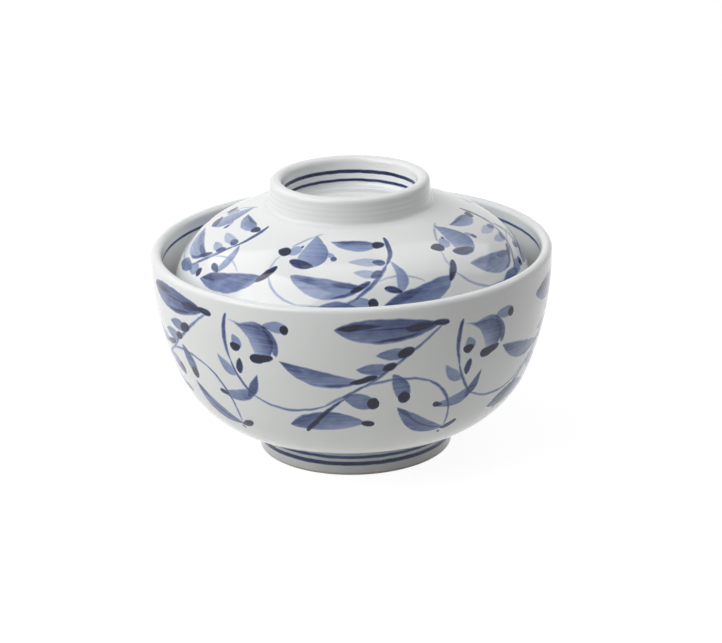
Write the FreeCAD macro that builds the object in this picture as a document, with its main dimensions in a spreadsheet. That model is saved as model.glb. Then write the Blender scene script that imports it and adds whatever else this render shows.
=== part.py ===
import FreeCAD, Part
import math
import os

import Sketcher

# A porcelain rice bowl with a lid: a round bowl on a foot ring, and a domed lid whose knob is a
# ring, like a small foot. Both are solids of revolution about Z. Millimetres and degrees. The
# origin is the middle of the foot ring's underside, and the lid is modelled where it rests,
# inside the bowl, on the slope of the bowl's inner wall.

DIMENSIONS = [
    # The bowl.
    ("bowl_radius", 77.6, "outside radius where the wall stands plumb"),
    ("bowl_height", 81.9, "foot ring's underside to the top of the lip"),
    ("plumb_drop", 2.4, "how far below the top of the lip the wall stands plumb"),
    ("bowl_wall", 4.2, "thickness of the wall, and of its full round lip"),
    ("wall_curve", 121.0, "radius of the upper wall's outer curve"),
    ("belly_curve", 39.0, "radius of the belly's outer curve"),
    ("base_slope", 20.0, "rise of the base between the foot ring and the belly"),
    ("floor_thickness", 5.0, "floor at the middle of the bowl"),
    # The bowl's foot ring.
    ("foot_radius", 38.6, "outside radius where the ring joins the base"),
    ("foot_height", 9.6, "height at which the ring joins the base"),
    ("foot_draft", 4.0, "lean of the ring's outer wall"),
    ("foot_width", 4.6, "width of the ring's underside"),
    ("foot_hollow", 6.5, "depth of the hollow inside the ring"),
    ("hollow_draft", 8.0, "lean of the ring's inner wall"),
    ("foot_round", 1.3, "rounding of the ring's two lower edges"),
    ("foot_cove", 1.6, "cove where the ring joins the base"),
    ("hollow_cove", 2.0, "cove in the corner of the hollow"),
    # The lid's seat in the bowl.
    ("seat_depth", 27.0, "top of the lip down to the middle of the lid's round edge"),
    ("seat_clearance", 0.3, "lid's edge to the bowl's inner wall"),
    # The lid.
    ("lid_height", 55.8, "lid's lowest edge to the top of its knob"),
    ("lid_wall", 4.0, "thickness of the skirt, and of its full round edge"),
    ("skirt_flare", 5.0, "lean of the skirt, outwards going down"),
    ("shoulder_curve", 31.0, "radius of the shoulder's outer curve"),
    ("dome_curve", 117.0, "radius of the dome's outer curve"),
    ("crown_thickness", 4.5, "lid at its middle, inside the knob ring"),
    # The lid's knob ring.
    ("knob_radius", 31.5, "outside radius where the knob ring joins the dome"),
    ("knob_height", 10.0, "height of the knob ring outside"),
    ("knob_draft", 5.0, "lean of the knob ring's outer wall"),
    ("knob_width", 4.8, "width of the knob ring at its top"),
    ("knob_hollow", 11.5, "depth of the hollow inside the knob ring"),
    ("knob_hollow_draft", 2.5, "lean of the knob ring's inner wall, outwards going down"),
    ("knob_round", 2.1, "rounding of the knob ring's two upper edges"),
    ("knob_cove", 1.8, "cove where the knob ring joins the dome"),
    ("crown_cove", 1.5, "cove in the corner of the knob ring's hollow"),
]

START, END, CENTRE = 1, 2, 3   # the points of a sketch's line or arc
ORIGIN = (-1, START)           # a sketch's origin
HORIZONTAL_AXIS, VERTICAL_AXIS = -1, -2

doc = FreeCAD.newDocument("RiceBowl")


def make_sheet():
    """Write the driving dimensions into a sheet, one row each."""
    sheet = doc.addObject("Spreadsheet::Sheet", "Sizes")
    for row, (alias, value, meaning) in enumerate(DIMENSIONS, start=1):
        sheet.set(f"A{row}", meaning)
        sheet.set(f"B{row}", str(value))
        sheet.setAlias(f"B{row}", alias)
    doc.recompute()
    return sheet


def polar(centre, radius, angle):
    """Return the point at an angle, in radians, on a circle."""
    return (centre[0] + radius * math.cos(angle), centre[1] + radius * math.sin(angle))


def bearing(start, end):
    """Return the angle of the direction from one point to another, in radians."""
    return math.atan2(end[1] - start[1], end[0] - start[0])


def reach(offset, direction, distance):
    """Return how far to go along a unit direction from an offset to be a distance from zero."""
    along = offset[0] * direction[0] + offset[1] * direction[1]
    return math.sqrt(along ** 2 - offset[0] ** 2 - offset[1] ** 2 + distance ** 2) - along


def crown_radius(top, centre, radius):
    """Return the radius of a circle centred on the axis, through a height on the axis, that
    touches another circle from around it. The sign is positive when it curves upwards."""
    rise = centre[1] - top
    return (centre[0] ** 2 + rise ** 2 - radius ** 2) / (2 * (rise - math.copysign(radius, rise)))


class Section:
    """A closed half section in the XZ plane of a body, made of lines and arcs in a sketch."""

    def __init__(self, body, name):
        self.sketch = body.newObject("Sketcher::SketchObject", name)
        plane = next(p for p in body.Origin.OriginFeatures if p.Role == "XZ_Plane")
        self.sketch.AttachmentSupport = [(plane, "")]
        self.sketch.MapMode = "FlatFace"

    def line(self, start, end):
        segment = Part.LineSegment(FreeCAD.Vector(*start, 0), FreeCAD.Vector(*end, 0))
        return self.sketch.addGeometry(segment, False)

    def arc(self, centre, radius, start, end):
        """Add an arc that runs anticlockwise from one angle to another, in radians."""
        circle = Part.Circle(FreeCAD.Vector(*centre, 0), FreeCAD.Vector(0, 0, 1), radius)
        return self.sketch.addGeometry(Part.ArcOfCircle(circle, start, end), False)

    def marker(self, place):
        """Add a construction point."""
        return self.sketch.addGeometry(Part.Point(FreeCAD.Vector(*place, 0)), True)

    def hold(self, kind, *references):
        self.sketch.addConstraint(Sketcher.Constraint(kind, *references))

    def drive(self, kind, *references, by):
        """Add a dimension that follows an expression on the sheet."""
        size = float(self.sketch.evalExpression(by))
        if kind == "Angle":
            size = math.radians(size)
        index = self.sketch.addConstraint(Sketcher.Constraint(kind, *references, size))
        self.sketch.setExpression(f"Constraints[{index}]", by)

    def place(self, geometry, point, across=None, up=None):
        """Place a point by its distances from the origin."""
        if across:
            self.drive("DistanceX", *ORIGIN, geometry, point, by=across)
        if up:
            self.drive("DistanceY", *ORIGIN, geometry, point, by=up)

    def join(self, kind, *pairs):
        """Join each pair of ends, given as (geometry, point, geometry, point)."""
        for pair in pairs:
            self.hold(kind, *pair)

    def on_axis(self, *points):
        for geometry, point in points:
            self.hold("PointOnObject", geometry, point, VERTICAL_AXIS)


def revolve(body, section):
    """Turn a section a whole turn about the vertical axis."""
    turned = body.newObject("PartDesign::Revolution", body.Name + "Turned")
    turned.Profile = section.sketch
    turned.ReferenceAxis = (section.sketch, ["V_Axis"])
    turned.Angle = 360
    doc.recompute()
    if not section.sketch.FullyConstrained:
        raise RuntimeError(f"{section.sketch.Name} is not fully constrained")


def round_off(body, name, corners, radius):
    """Fillet the round edges of a body that lie at the given (radius, height) corners."""
    base = body.Tip
    edges = []
    for number, edge in enumerate(base.Shape.Edges, start=1):
        if not edge.Degenerated and isinstance(edge.Curve, Part.Circle):
            here = (edge.Curve.Radius, edge.Curve.Center.z)
            if any(math.dist(here, corner) < 0.01 for corner in corners):
                edges.append(f"Edge{number}")
    if len(edges) != len(corners):
        raise RuntimeError(f"{name}: {len(corners)} corners, {len(edges)} edges")
    fillet = body.newObject("PartDesign::Fillet", name)
    fillet.Base = (base, edges)
    fillet.setExpression("Radius", f"Sizes.{radius}")
    doc.recompute()


def make_bowl(size):
    """The bowl: its wall and belly, its floor, and the foot ring that it stands on."""
    body = doc.addObject("PartDesign::Body", "Bowl")
    body.Label = "bowl"
    section = Section(body, "BowlSection")

    # Where the curves lie: the wall's centre, the lip's, the belly's and the floor's.
    wall_centre = (size.bowl_radius - size.wall_curve, size.bowl_height - size.plumb_drop)
    lip_round = size.bowl_wall / 2
    mid_wall = size.wall_curve - lip_round
    lip_angle = math.asin((size.bowl_height - lip_round - wall_centre[1]) / mid_wall)
    slope = math.radians(size.base_slope)
    joint = (size.foot_radius, size.foot_height)
    above_joint = polar(joint, size.belly_curve, slope + math.pi / 2)
    offset = (above_joint[0] - wall_centre[0], above_joint[1] - wall_centre[1])
    base_length = reach(offset, (math.cos(slope), math.sin(slope)),
                        size.wall_curve - size.belly_curve)
    belly_centre = polar(above_joint, base_length, slope)
    belly_angle = bearing(wall_centre, belly_centre)
    belly_inside = size.belly_curve - size.bowl_wall
    floor_height = size.foot_hollow + size.floor_thickness
    floor_curve = crown_radius(floor_height, belly_centre, belly_inside)
    floor_centre = (0, floor_height + floor_curve)
    floor_angle = bearing(floor_centre, belly_centre)

    # The foot ring's corners.
    foot_outer = (joint[0] - joint[1] * math.tan(math.radians(size.foot_draft)), 0)
    foot_inner = (foot_outer[0] - size.foot_width, 0)
    hollow_run = size.foot_hollow * math.tan(math.radians(size.hollow_draft))
    hollow_corner = (foot_inner[0] - hollow_run, size.foot_hollow)

    floor = section.arc(floor_centre, floor_curve, -math.pi / 2, floor_angle)
    belly_in = section.arc(belly_centre, belly_inside, floor_angle, belly_angle)
    wall_in = section.arc(wall_centre, size.wall_curve - size.bowl_wall, belly_angle, lip_angle)
    lip = section.arc(polar(wall_centre, mid_wall, lip_angle), lip_round,
                      lip_angle, lip_angle + math.pi)
    wall_out = section.arc(wall_centre, size.wall_curve, belly_angle, lip_angle)
    belly_out = section.arc(belly_centre, size.belly_curve, slope - math.pi / 2, belly_angle)
    base = section.line(joint, polar(joint, base_length, slope))
    foot_out = section.line(foot_outer, joint)
    foot_under = section.line(foot_outer, foot_inner)
    foot_in = section.line(foot_inner, hollow_corner)
    ceiling = section.line(hollow_corner, (0, size.foot_hollow))
    axis = section.line((0, size.foot_hollow), (0, floor_height))

    section.join("Coincident",
                 (foot_out, END, base, START), (foot_out, START, foot_under, START),
                 (foot_under, END, foot_in, START), (foot_in, END, ceiling, START),
                 (ceiling, END, axis, START), (axis, END, floor, START),
                 (belly_in, CENTRE, belly_out, CENTRE), (wall_in, CENTRE, wall_out, CENTRE))
    section.join("Tangent",
                 (floor, END, belly_in, START), (belly_in, END, wall_in, START),
                 (wall_in, END, lip, END), (lip, START, wall_out, END),
                 (wall_out, START, belly_out, END), (belly_out, START, base, END))
    section.on_axis((axis, START), (axis, END), (floor, CENTRE))
    section.hold("Horizontal", ceiling)
    section.hold("PointOnObject", foot_under, START, HORIZONTAL_AXIS)
    section.hold("PointOnObject", foot_under, END, HORIZONTAL_AXIS)

    section.drive("DistanceX", wall_out, CENTRE, *ORIGIN, by="Sizes.wall_curve - Sizes.bowl_radius")
    section.place(wall_out, CENTRE, up="Sizes.bowl_height - Sizes.plumb_drop")
    section.drive("Radius", wall_out, by="Sizes.wall_curve")
    section.drive("Radius", lip, by="Sizes.bowl_wall / 2")
    section.place(lip, CENTRE, up="Sizes.bowl_height - Sizes.bowl_wall / 2")
    section.drive("Radius", belly_out, by="Sizes.belly_curve")
    section.drive("Angle", base, by="Sizes.base_slope")
    section.place(base, START, across="Sizes.foot_radius", up="Sizes.foot_height")
    section.drive("Angle", foot_out, by="90 - Sizes.foot_draft")
    section.drive("Distance", foot_under, by="Sizes.foot_width")
    section.drive("Angle", foot_in, by="90 + Sizes.hollow_draft")
    section.place(ceiling, START, up="Sizes.foot_hollow")
    section.place(floor, START, up="Sizes.foot_hollow + Sizes.floor_thickness")

    revolve(body, section)
    round_off(body, "FootRound", [foot_outer, foot_inner], "foot_round")
    round_off(body, "FootCove", [joint], "foot_cove")
    round_off(body, "HollowCove", [hollow_corner], "hollow_cove")
    return body


def make_lid(size):
    """The lid: skirt, shoulder and dome, and the ring on top that it is lifted by.

    Its own zero height is the middle of its round edge, which the body's placement puts at the
    seat. The edge keeps the seat clearance from the bowl's inner wall, along that wall's radius.
    """
    body = doc.addObject("PartDesign::Body", "Lid")
    body.Label = "lid"
    body.setExpression("Placement.Base.z", "Sizes.bowl_height - Sizes.seat_depth")
    section = Section(body, "LidSection")

    # Where the edge lies in the bowl, and the skirt, shoulder, dome and crown above it.
    edge_round = size.lid_wall / 2
    bowl_centre = (size.bowl_radius - size.wall_curve, size.seat_depth - size.plumb_drop)
    edge_reach = size.wall_curve - size.bowl_wall - edge_round - size.seat_clearance
    edge_centre = (bowl_centre[0] + math.sqrt(edge_reach ** 2 - bowl_centre[1] ** 2), 0)
    flare = math.radians(size.skirt_flare)
    top = size.lid_height - edge_round
    joint = (size.knob_radius, top - size.knob_height)
    dome_centre = (0, joint[1] - math.sqrt(size.dome_curve ** 2 - joint[0] ** 2))
    beside_edge = polar(edge_centre, edge_round - size.shoulder_curve, flare)
    offset = (beside_edge[0] - dome_centre[0], beside_edge[1] - dome_centre[1])
    up_skirt = (-math.sin(flare), math.cos(flare))
    skirt_length = reach(offset, up_skirt, size.dome_curve - size.shoulder_curve)
    shoulder_centre = polar(beside_edge, skirt_length, flare + math.pi / 2)
    shoulder_angle = bearing(dome_centre, shoulder_centre)
    shoulder_inside = size.shoulder_curve - size.lid_wall
    floor_height = top - size.knob_hollow
    crown_height = floor_height - size.crown_thickness
    crown_curve = -crown_radius(crown_height, shoulder_centre, shoulder_inside)
    crown_centre = (0, crown_height - crown_curve)
    crown_angle = bearing(crown_centre, shoulder_centre)

    # The knob ring's corners.
    top_outer = (joint[0] - size.knob_height * math.tan(math.radians(size.knob_draft)), top)
    top_inner = (top_outer[0] - size.knob_width, top)
    hollow_run = size.knob_hollow * math.tan(math.radians(size.knob_hollow_draft))
    hollow_corner = (top_inner[0] + hollow_run, floor_height)

    edge = section.arc(edge_centre, edge_round, flare + math.pi, flare + 2 * math.pi)
    skirt_foot_in = polar(edge_centre, edge_round, flare + math.pi)
    skirt_foot_out = polar(edge_centre, edge_round, flare)
    skirt_in = section.line(skirt_foot_in, polar(skirt_foot_in, skirt_length, flare + math.pi / 2))
    skirt_out = section.line(skirt_foot_out,
                             polar(skirt_foot_out, skirt_length, flare + math.pi / 2))
    shoulder_in = section.arc(shoulder_centre, shoulder_inside, flare, crown_angle)
    shoulder_out = section.arc(shoulder_centre, size.shoulder_curve, flare, shoulder_angle)
    crown = section.arc(crown_centre, crown_curve, crown_angle, math.pi / 2)
    dome = section.arc(dome_centre, size.dome_curve, shoulder_angle, bearing(dome_centre, joint))
    knob_out = section.line(joint, top_outer)
    knob_top = section.line(top_outer, top_inner)
    knob_in = section.line(hollow_corner, top_inner)
    knob_floor = section.line(hollow_corner, (0, floor_height))
    axis = section.line((0, crown_height), (0, floor_height))
    wall_centre = section.marker(bowl_centre)

    section.join("Coincident",
                 (crown, END, axis, START), (axis, END, knob_floor, END),
                 (knob_floor, START, knob_in, START), (knob_in, END, knob_top, END),
                 (knob_top, START, knob_out, END), (knob_out, START, dome, END),
                 (shoulder_in, CENTRE, shoulder_out, CENTRE))
    section.join("Tangent",
                 (edge, START, skirt_in, START), (edge, END, skirt_out, START),
                 (skirt_in, END, shoulder_in, START), (skirt_out, END, shoulder_out, START),
                 (shoulder_in, END, crown, START), (shoulder_out, END, dome, START))
    section.hold("Parallel", skirt_in, skirt_out)
    section.on_axis((axis, START), (axis, END), (crown, CENTRE), (dome, CENTRE))
    section.hold("Horizontal", knob_top)
    section.hold("Horizontal", knob_floor)

    top_height = "Sizes.lid_height - Sizes.lid_wall / 2"
    section.drive("DistanceX", wall_centre, START, *ORIGIN,
                  by="Sizes.wall_curve - Sizes.bowl_radius")
    section.place(wall_centre, START, up="Sizes.seat_depth - Sizes.plumb_drop")
    section.drive("Distance", wall_centre, START, edge, CENTRE,
                  by="Sizes.wall_curve - Sizes.bowl_wall - Sizes.lid_wall / 2 - Sizes.seat_clearance")
    section.hold("PointOnObject", edge, CENTRE, HORIZONTAL_AXIS)
    section.drive("Radius", edge, by="Sizes.lid_wall / 2")
    section.drive("Angle", skirt_out, by="90 + Sizes.skirt_flare")
    section.drive("Radius", shoulder_out, by="Sizes.shoulder_curve")
    section.drive("Radius", dome, by="Sizes.dome_curve")
    section.place(knob_out, START, across="Sizes.knob_radius", up=f"{top_height} - Sizes.knob_height")
    section.drive("Angle", knob_out, by="90 + Sizes.knob_draft")
    section.place(knob_top, START, up=top_height)
    section.drive("Distance", knob_top, by="Sizes.knob_width")
    section.drive("Angle", knob_in, by="90 + Sizes.knob_hollow_draft")
    section.place(knob_floor, START, up=f"{top_height} - Sizes.knob_hollow")
    section.place(axis, START, up=f"{top_height} - Sizes.knob_hollow - Sizes.crown_thickness")

    revolve(body, section)
    round_off(body, "KnobRound", [top_outer, top_inner], "knob_round")
    round_off(body, "KnobCove", [joint], "knob_cove")
    round_off(body, "CrownCove", [hollow_corner], "crown_cove")
    return body


def check(bodies):
    """Stop on any object that failed to recompute, and on any body that is not one good solid."""
    for item in doc.Objects:
        if "Invalid" in item.State or "Error" in item.State:
            raise RuntimeError(f"{item.Name} failed: {item.State}")
    for body in bodies:
        if body.Shape.isNull() or not body.Shape.isValid() or len(body.Shape.Solids) != 1:
            raise RuntimeError(f"{body.Label} is not one valid solid")


def write(bodies):
    """Write each body to its own file, named by its label."""
    os.makedirs("parts", exist_ok=True)
    for body in bodies:
        body.Shape.exportStep(f"parts/{body.Label}.step")
        box = body.Shape.optimalBoundingBox(False, False)
        print(f"{body.Label}: {box.XLength:.2f} x {box.YLength:.2f} x {box.ZLength:.2f} mm,"
              f" {body.Shape.Volume / 1000:.1f} ml of porcelain")


sizes = make_sheet()
pieces = [make_bowl(sizes), make_lid(sizes)]
doc.recompute()
check(pieces)
write(pieces)
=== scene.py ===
import math
from collections import Counter

import bpy
from mathutils import Matrix, Vector


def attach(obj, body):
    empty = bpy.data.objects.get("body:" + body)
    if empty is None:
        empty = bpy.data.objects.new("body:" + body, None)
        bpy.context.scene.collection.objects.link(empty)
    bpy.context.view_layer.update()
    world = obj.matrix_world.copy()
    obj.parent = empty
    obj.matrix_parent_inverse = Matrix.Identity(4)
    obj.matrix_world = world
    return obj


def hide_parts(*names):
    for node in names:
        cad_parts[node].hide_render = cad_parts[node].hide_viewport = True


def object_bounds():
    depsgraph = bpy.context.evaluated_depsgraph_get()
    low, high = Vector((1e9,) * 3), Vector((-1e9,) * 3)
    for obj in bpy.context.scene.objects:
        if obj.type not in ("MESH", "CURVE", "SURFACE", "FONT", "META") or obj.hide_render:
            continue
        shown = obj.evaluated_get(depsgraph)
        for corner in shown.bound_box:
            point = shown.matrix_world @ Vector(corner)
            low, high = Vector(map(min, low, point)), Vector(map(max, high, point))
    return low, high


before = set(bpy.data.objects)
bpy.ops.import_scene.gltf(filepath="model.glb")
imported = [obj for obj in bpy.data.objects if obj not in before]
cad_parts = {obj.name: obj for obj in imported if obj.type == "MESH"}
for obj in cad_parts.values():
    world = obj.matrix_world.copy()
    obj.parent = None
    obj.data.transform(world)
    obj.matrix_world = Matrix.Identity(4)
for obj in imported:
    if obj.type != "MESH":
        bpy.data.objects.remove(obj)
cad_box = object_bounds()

bl_info = {
    "name": "Lidded rice bowl",
    "version": (1, 0, 0),
    "blender": (4, 5, 0),
    "location": "3D View > Sidebar > Rice bowl",
    "description": "Throws, glazes and paints a porcelain rice bowl and its lid on the packed frame",
    "category": "Object",
}

MM = 0.001  # sizes are written in millimetres and kept in metres

# What the turning tool leaves: the drafts of the two rings, and the small fillets at their feet.
FOOT_DRAFT = math.radians(4)
HOLLOW_DRAFT = math.radians(8)
KNOB_DRAFT = math.radians(5)
WELL_DRAFT = math.radians(2.5)
FOOT_FILLET = 1.6 * MM
HOLLOW_FILLET = 2.0 * MM
KNOB_FILLET = 1.8 * MM
WELL_FILLET = 1.5 * MM
TURNING_STEP = 1.9 * MM  # the fine rings down the knob's outer wall are this far apart
TURNING_DEPTH = 0.1 * MM  # and this deep


def srgb(code):
    """A colour written as #RRGGBB, as Blender's own linear numbers with full alpha."""
    parts = [int(code[i : i + 2], 16) / 255 for i in (1, 3, 5)]
    linear = [p / 12.92 if p <= 0.04045 else ((p + 0.055) / 1.055) ** 2.4 for p in parts]
    return (*linear, 1.0)


def length(name, millimetres, description):
    """A length property of a piece, written in millimetres and kept in metres."""
    return bpy.props.FloatProperty(name=name, description=description, default=millimetres * MM,
                                   min=0.0, precision=5, unit="LENGTH")


def colour(name, code, description):
    """A colour property, written as an sRGB hex value."""
    return bpy.props.FloatVectorProperty(name=name, description=description, default=srgb(code),
                                         min=0.0, max=1.0, size=4, subtype="COLOR")


def angle(name, degrees, description):
    """An angle property, written in degrees and kept in radians."""
    return bpy.props.FloatProperty(name=name, description=description, default=math.radians(degrees),
                                   subtype="ANGLE")


def strength(name, amount, description):
    """A lamp's strength in watts, or the room light's as a share of plain white."""
    return bpy.props.FloatProperty(name=name, description=description, default=amount, min=0.0)


class BowlSizes(bpy.types.PropertyGroup):
    """Sizes of the thrown bowl."""

    rim: length("Rim radius", 77.6, "Widest outside radius, where the wall stands upright")
    height: length("Height", 81.9, "From the foot's standing edge to the top of the lip")
    plumb: length("Upright below lip", 2.4, "How far below the lip the wall stands upright")
    wall: length("Wall", 4.2, "Thickness of the wall")
    sweep: length("Wall curve", 121.0, "Radius of the upper wall's long curve")
    belly: length("Belly curve", 39.0, "Radius of the tight curve into the base")
    belly_out: length("Belly centre out", 32.70, "How far the belly curve's centre is from the axis")
    belly_up: length("Belly centre up", 48.96, "How high the belly curve's centre is")
    slope: angle("Base slope", 20, "Slope of the base above the foot")
    floor: length("Floor", 11.5, "Height of the inside floor at its middle")
    foot: length("Foot radius", 38.6, "Outside radius of the foot ring where it meets the base")
    foot_high: length("Foot height", 9.6, "Height of the foot ring outside")
    foot_wide: length("Foot width", 4.6, "Width of the foot ring where it stands")
    foot_deep: length("Foot hollow", 6.5, "Depth of the hollow inside the foot ring")
    foot_round: length("Foot edge", 1.3, "Rounding of the two standing edges")


class LidSizes(bpy.types.PropertyGroup):
    """Sizes of the thrown lid, at its place in the bowl."""

    edge_out: length("Edge radius", 68.43, "Radius of the middle of the lid's round edge")
    edge_up: length("Edge height", 54.9, "Height of the middle of the lid's round edge")
    wall: length("Wall", 4.0, "Thickness of the lid")
    flare: angle("Skirt flare", 5, "Lean of the lid's hidden skirt")
    shoulder: length("Shoulder curve", 31.0, "Radius of the shoulder")
    shoulder_out: length("Shoulder centre out", 38.62, "How far the shoulder's centre is from the axis")
    shoulder_up: length("Shoulder centre up", 62.86, "How high the shoulder's centre is")
    dome: length("Dome curve", 117.0, "Radius of the dome")
    crown: length("Crown underside", 92.7, "Height of the underside at its middle")
    knob: length("Knob radius", 31.5, "Outside radius of the knob ring where it meets the dome")
    knob_up: length("Knob joint height", 98.7, "Height of that meeting")
    knob_top: length("Knob top", 108.7, "Height of the knob ring's lip")
    knob_wide: length("Knob width", 4.8, "Thickness of the knob ring at its lip")
    knob_deep: length("Knob hollow", 11.5, "Depth of the hollow inside the knob ring")
    knob_round: length("Knob lip", 2.1, "Rounding of the knob ring's lip")


class GlazeColours(bpy.types.PropertyGroup):
    """Colours of the body, the glaze and the painting under it."""

    glaze: colour("Glaze", "#EBEDEC", "Clear glaze over the white body")
    pool: colour("Pooled glaze", "#C3CDD2", "Glaze where it gathers thick round the foot")
    wash: colour("Cobalt wash", "#9AA9CC", "Thin wash of cobalt")
    mid: colour("Cobalt", "#556693", "One full brush of cobalt")
    deep: colour("Deep cobalt", "#2B386A", "Two brushes of cobalt")
    # Pooled glaze: a darker blue-grey for the creases at the foot and the knob, partly glaze gathered thick
    # there and partly painted shade of the crease.
    black: colour("Loaded brush", "#0C112D", "Cobalt where the brush was set down full")
    biscuit: colour("Biscuit", "#CFC8BE", "Unglazed body where the foot stands")


class StudioLight(bpy.types.PropertyGroup):
    """Strengths of the studio's lamps and its room light."""

    key: strength("Key", 7.6, "Big soft box, upper left")
    back: strength("Back", 1.6, "Soft box, left behind")
    side: strength("Side", 2.0, "Soft box, right behind")
    low: strength("Low", 0.75, "Soft box, low at the right")
    top: strength("Top", 1.85, "Soft box overhead")
    room: strength("Room", 0.03, "Light from the room")


# ---------------------------------------------------------------------------------------------
# Outlines: points (out, up) in metres, in order along the section of a thrown piece. A straight
# run next to a rounded corner is cut short by as many of its points as the rounding takes up.


def arc(out, up, radius, start, end, steps):
    """Points on an arc about (out, up), from one angle to the other, in radians."""
    angles = [start + (end - start) * i / steps for i in range(steps + 1)]
    return [(out + radius * math.cos(a), up + radius * math.sin(a)) for a in angles]


def line(a, b, steps):
    """Points on a straight run from a to b."""
    return [(a[0] + (b[0] - a[0]) * i / steps, a[1] + (b[1] - a[1]) * i / steps)
            for i in range(steps + 1)]


def corner(before, at, after, radius, steps):
    """Points on the arc that rounds the corner at, between the runs from before and to after."""
    to_before = (Vector(before) - Vector(at)).normalized()
    to_after = (Vector(after) - Vector(at)).normalized()
    half = to_before.angle(to_after) / 2
    middle = Vector(at) + (to_before + to_after).normalized() * (radius / math.sin(half))
    first = Vector(at) + to_before * (radius / math.tan(half)) - middle
    last = Vector(at) + to_after * (radius / math.tan(half)) - middle
    start = math.atan2(first.y, first.x)
    turn = math.atan2(first.x * last.y - first.y * last.x, first.dot(last))
    return arc(middle.x, middle.y, radius, start, start + turn, steps)


def shallow(top, out, up, radius):
    """The radius of the shallow curve across the axis that runs smoothly into a tighter curve.

    It passes the height top at the axis, and the tighter curve has its middle at (out, up).
    """
    rise = abs(up - top)
    return (out**2 + rise**2 - radius**2) / (2 * (rise - radius))


def joined(*runs):
    """One outline from runs laid end to end, without its doubled points."""
    points = []
    for run in runs:
        for p in run:
            if not points or math.dist(p, points[-1]) > 0.02 * MM:
                points.append(p)
    return points


def bowl_outline(s):
    """The bowl's section, from the middle of its inside floor over the lip to under the foot."""
    lip = s.wall / 2
    curve_out = s.rim - s.sweep
    curve_up = s.height - s.plumb
    top = math.asin((s.height - lip - curve_up) / (s.sweep - lip))
    join = math.atan2(s.belly_up - curve_up, s.belly_out - curve_out)
    tight = s.belly - s.wall
    floor_curve = shallow(s.floor, s.belly_out, s.belly_up, tight)
    floor_up = s.floor + floor_curve
    floor_join = math.atan2(s.belly_up - floor_up, s.belly_out)
    lip_at = (curve_out + (s.sweep - lip) * math.cos(top), curve_up + (s.sweep - lip) * math.sin(top))
    base = arc(s.belly_out, s.belly_up, s.belly, join, s.slope - math.pi / 2, 40)
    foot = (s.foot, s.foot_high)
    toe = (s.foot - s.foot_high * math.tan(FOOT_DRAFT), 0.0)
    heel = (toe[0] - s.foot_wide, 0.0)
    hollow = (heel[0] - s.foot_deep * math.tan(HOLLOW_DRAFT), s.foot_deep)
    return joined(
        arc(0.0, floor_up, floor_curve, -math.pi / 2, floor_join, 40),
        arc(s.belly_out, s.belly_up, tight, floor_join, join, 36),
        arc(curve_out, curve_up, s.sweep - s.wall, join, top, 60),
        arc(*lip_at, lip, math.pi + top, top, 16),
        arc(curve_out, curve_up, s.sweep, top, join, 64),
        base,
        line(base[-1], foot, 10)[:-2],
        corner(base[-1], foot, toe, FOOT_FILLET, 6),
        line(foot, toe, 10)[2:-2],
        corner(foot, toe, heel, s.foot_round, 8),
        corner(toe, heel, hollow, s.foot_round, 8),
        corner(heel, hollow, (0.0, s.foot_deep), HOLLOW_FILLET, 6),
        line(hollow, (0.0, s.foot_deep), 24)[2:],
    )


def lid_outline(s):
    """The lid's section, from the middle of the knob's hollow over the dome to the underside."""
    dome_up = s.knob_up - math.sqrt(s.dome**2 - s.knob**2)
    turned = math.atan2(s.shoulder_up - dome_up, s.shoulder_out)
    knob_at = math.atan2(s.knob_up - dome_up, s.knob)
    lip = (s.knob - (s.knob_top - s.knob_up) * math.tan(KNOB_DRAFT), s.knob_top)
    inner = (lip[0] - s.knob_wide, s.knob_top)
    well = (inner[0] + s.knob_deep * math.tan(WELL_DRAFT), s.knob_top - s.knob_deep)
    joint = (s.knob, s.knob_up)
    dome = arc(0.0, dome_up, s.dome, knob_at, turned, 70)
    half = s.wall / 2
    skirt = s.flare
    outer = (s.edge_out + half * math.cos(skirt), s.edge_up + half * math.sin(skirt))
    inside = (s.edge_out - half * math.cos(skirt), s.edge_up - half * math.sin(skirt))
    shoulder_in = s.shoulder - s.wall
    crown_curve = shallow(s.crown, s.shoulder_out, s.shoulder_up, shoulder_in)
    crown_up = s.crown - crown_curve
    under = math.atan2(s.shoulder_up - crown_up, s.shoulder_out)
    start_in = (s.shoulder_out + shoulder_in * math.cos(skirt),
                s.shoulder_up + shoulder_in * math.sin(skirt))
    shoulder = arc(s.shoulder_out, s.shoulder_up, s.shoulder, turned, skirt, 30)
    wall = line(joint, lip, 24)[4:-6]
    # The knob's outer wall keeps the faint rings of the turning tool.
    rings = 2 * math.pi / TURNING_STEP
    wall = [(x - TURNING_DEPTH / 2 * (1 - math.cos((y - s.knob_up) * rings)), y) for x, y in wall]
    return joined(
        line((0.0, well[1]), well, 24)[:-2],
        corner((0.0, well[1]), well, inner, WELL_FILLET, 6),
        line(well, inner, 16)[3:-4],
        corner(well, inner, lip, s.knob_round, 10),
        corner(inner, lip, joint, s.knob_round, 10),
        wall[::-1],
        corner(lip, joint, dome[6], KNOB_FILLET, 6),
        dome[4:],
        shoulder,
        line(shoulder[-1], outer, 16),
        arc(s.edge_out, s.edge_up, half, skirt, skirt - math.pi, 14),
        line(inside, start_in, 16),
        arc(s.shoulder_out, s.shoulder_up, shoulder_in, skirt, under, 26),
        arc(0.0, crown_up, crown_curve, under, math.pi / 2, 50),
    )


def run_lengths(outline):
    """How far along the section each point of the outline is, in metres."""
    far = [0.0]
    for a, b in zip(outline, outline[1:]):
        far.append(far[-1] + math.dist(a, b))
    return far


def nearest(outline, out, up):
    """The place in the outline's list of the point that is nearest to (out, up)."""
    return min(range(len(outline)), key=lambda i: math.dist(outline[i], (out, up)))


def way_to(outline, zero, out, up):
    """How far past point zero the section comes nearest to (out, up), in millimetres."""
    far = run_lengths(outline)
    return (far[nearest(outline, out, up)] - far[zero]) / MM


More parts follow.
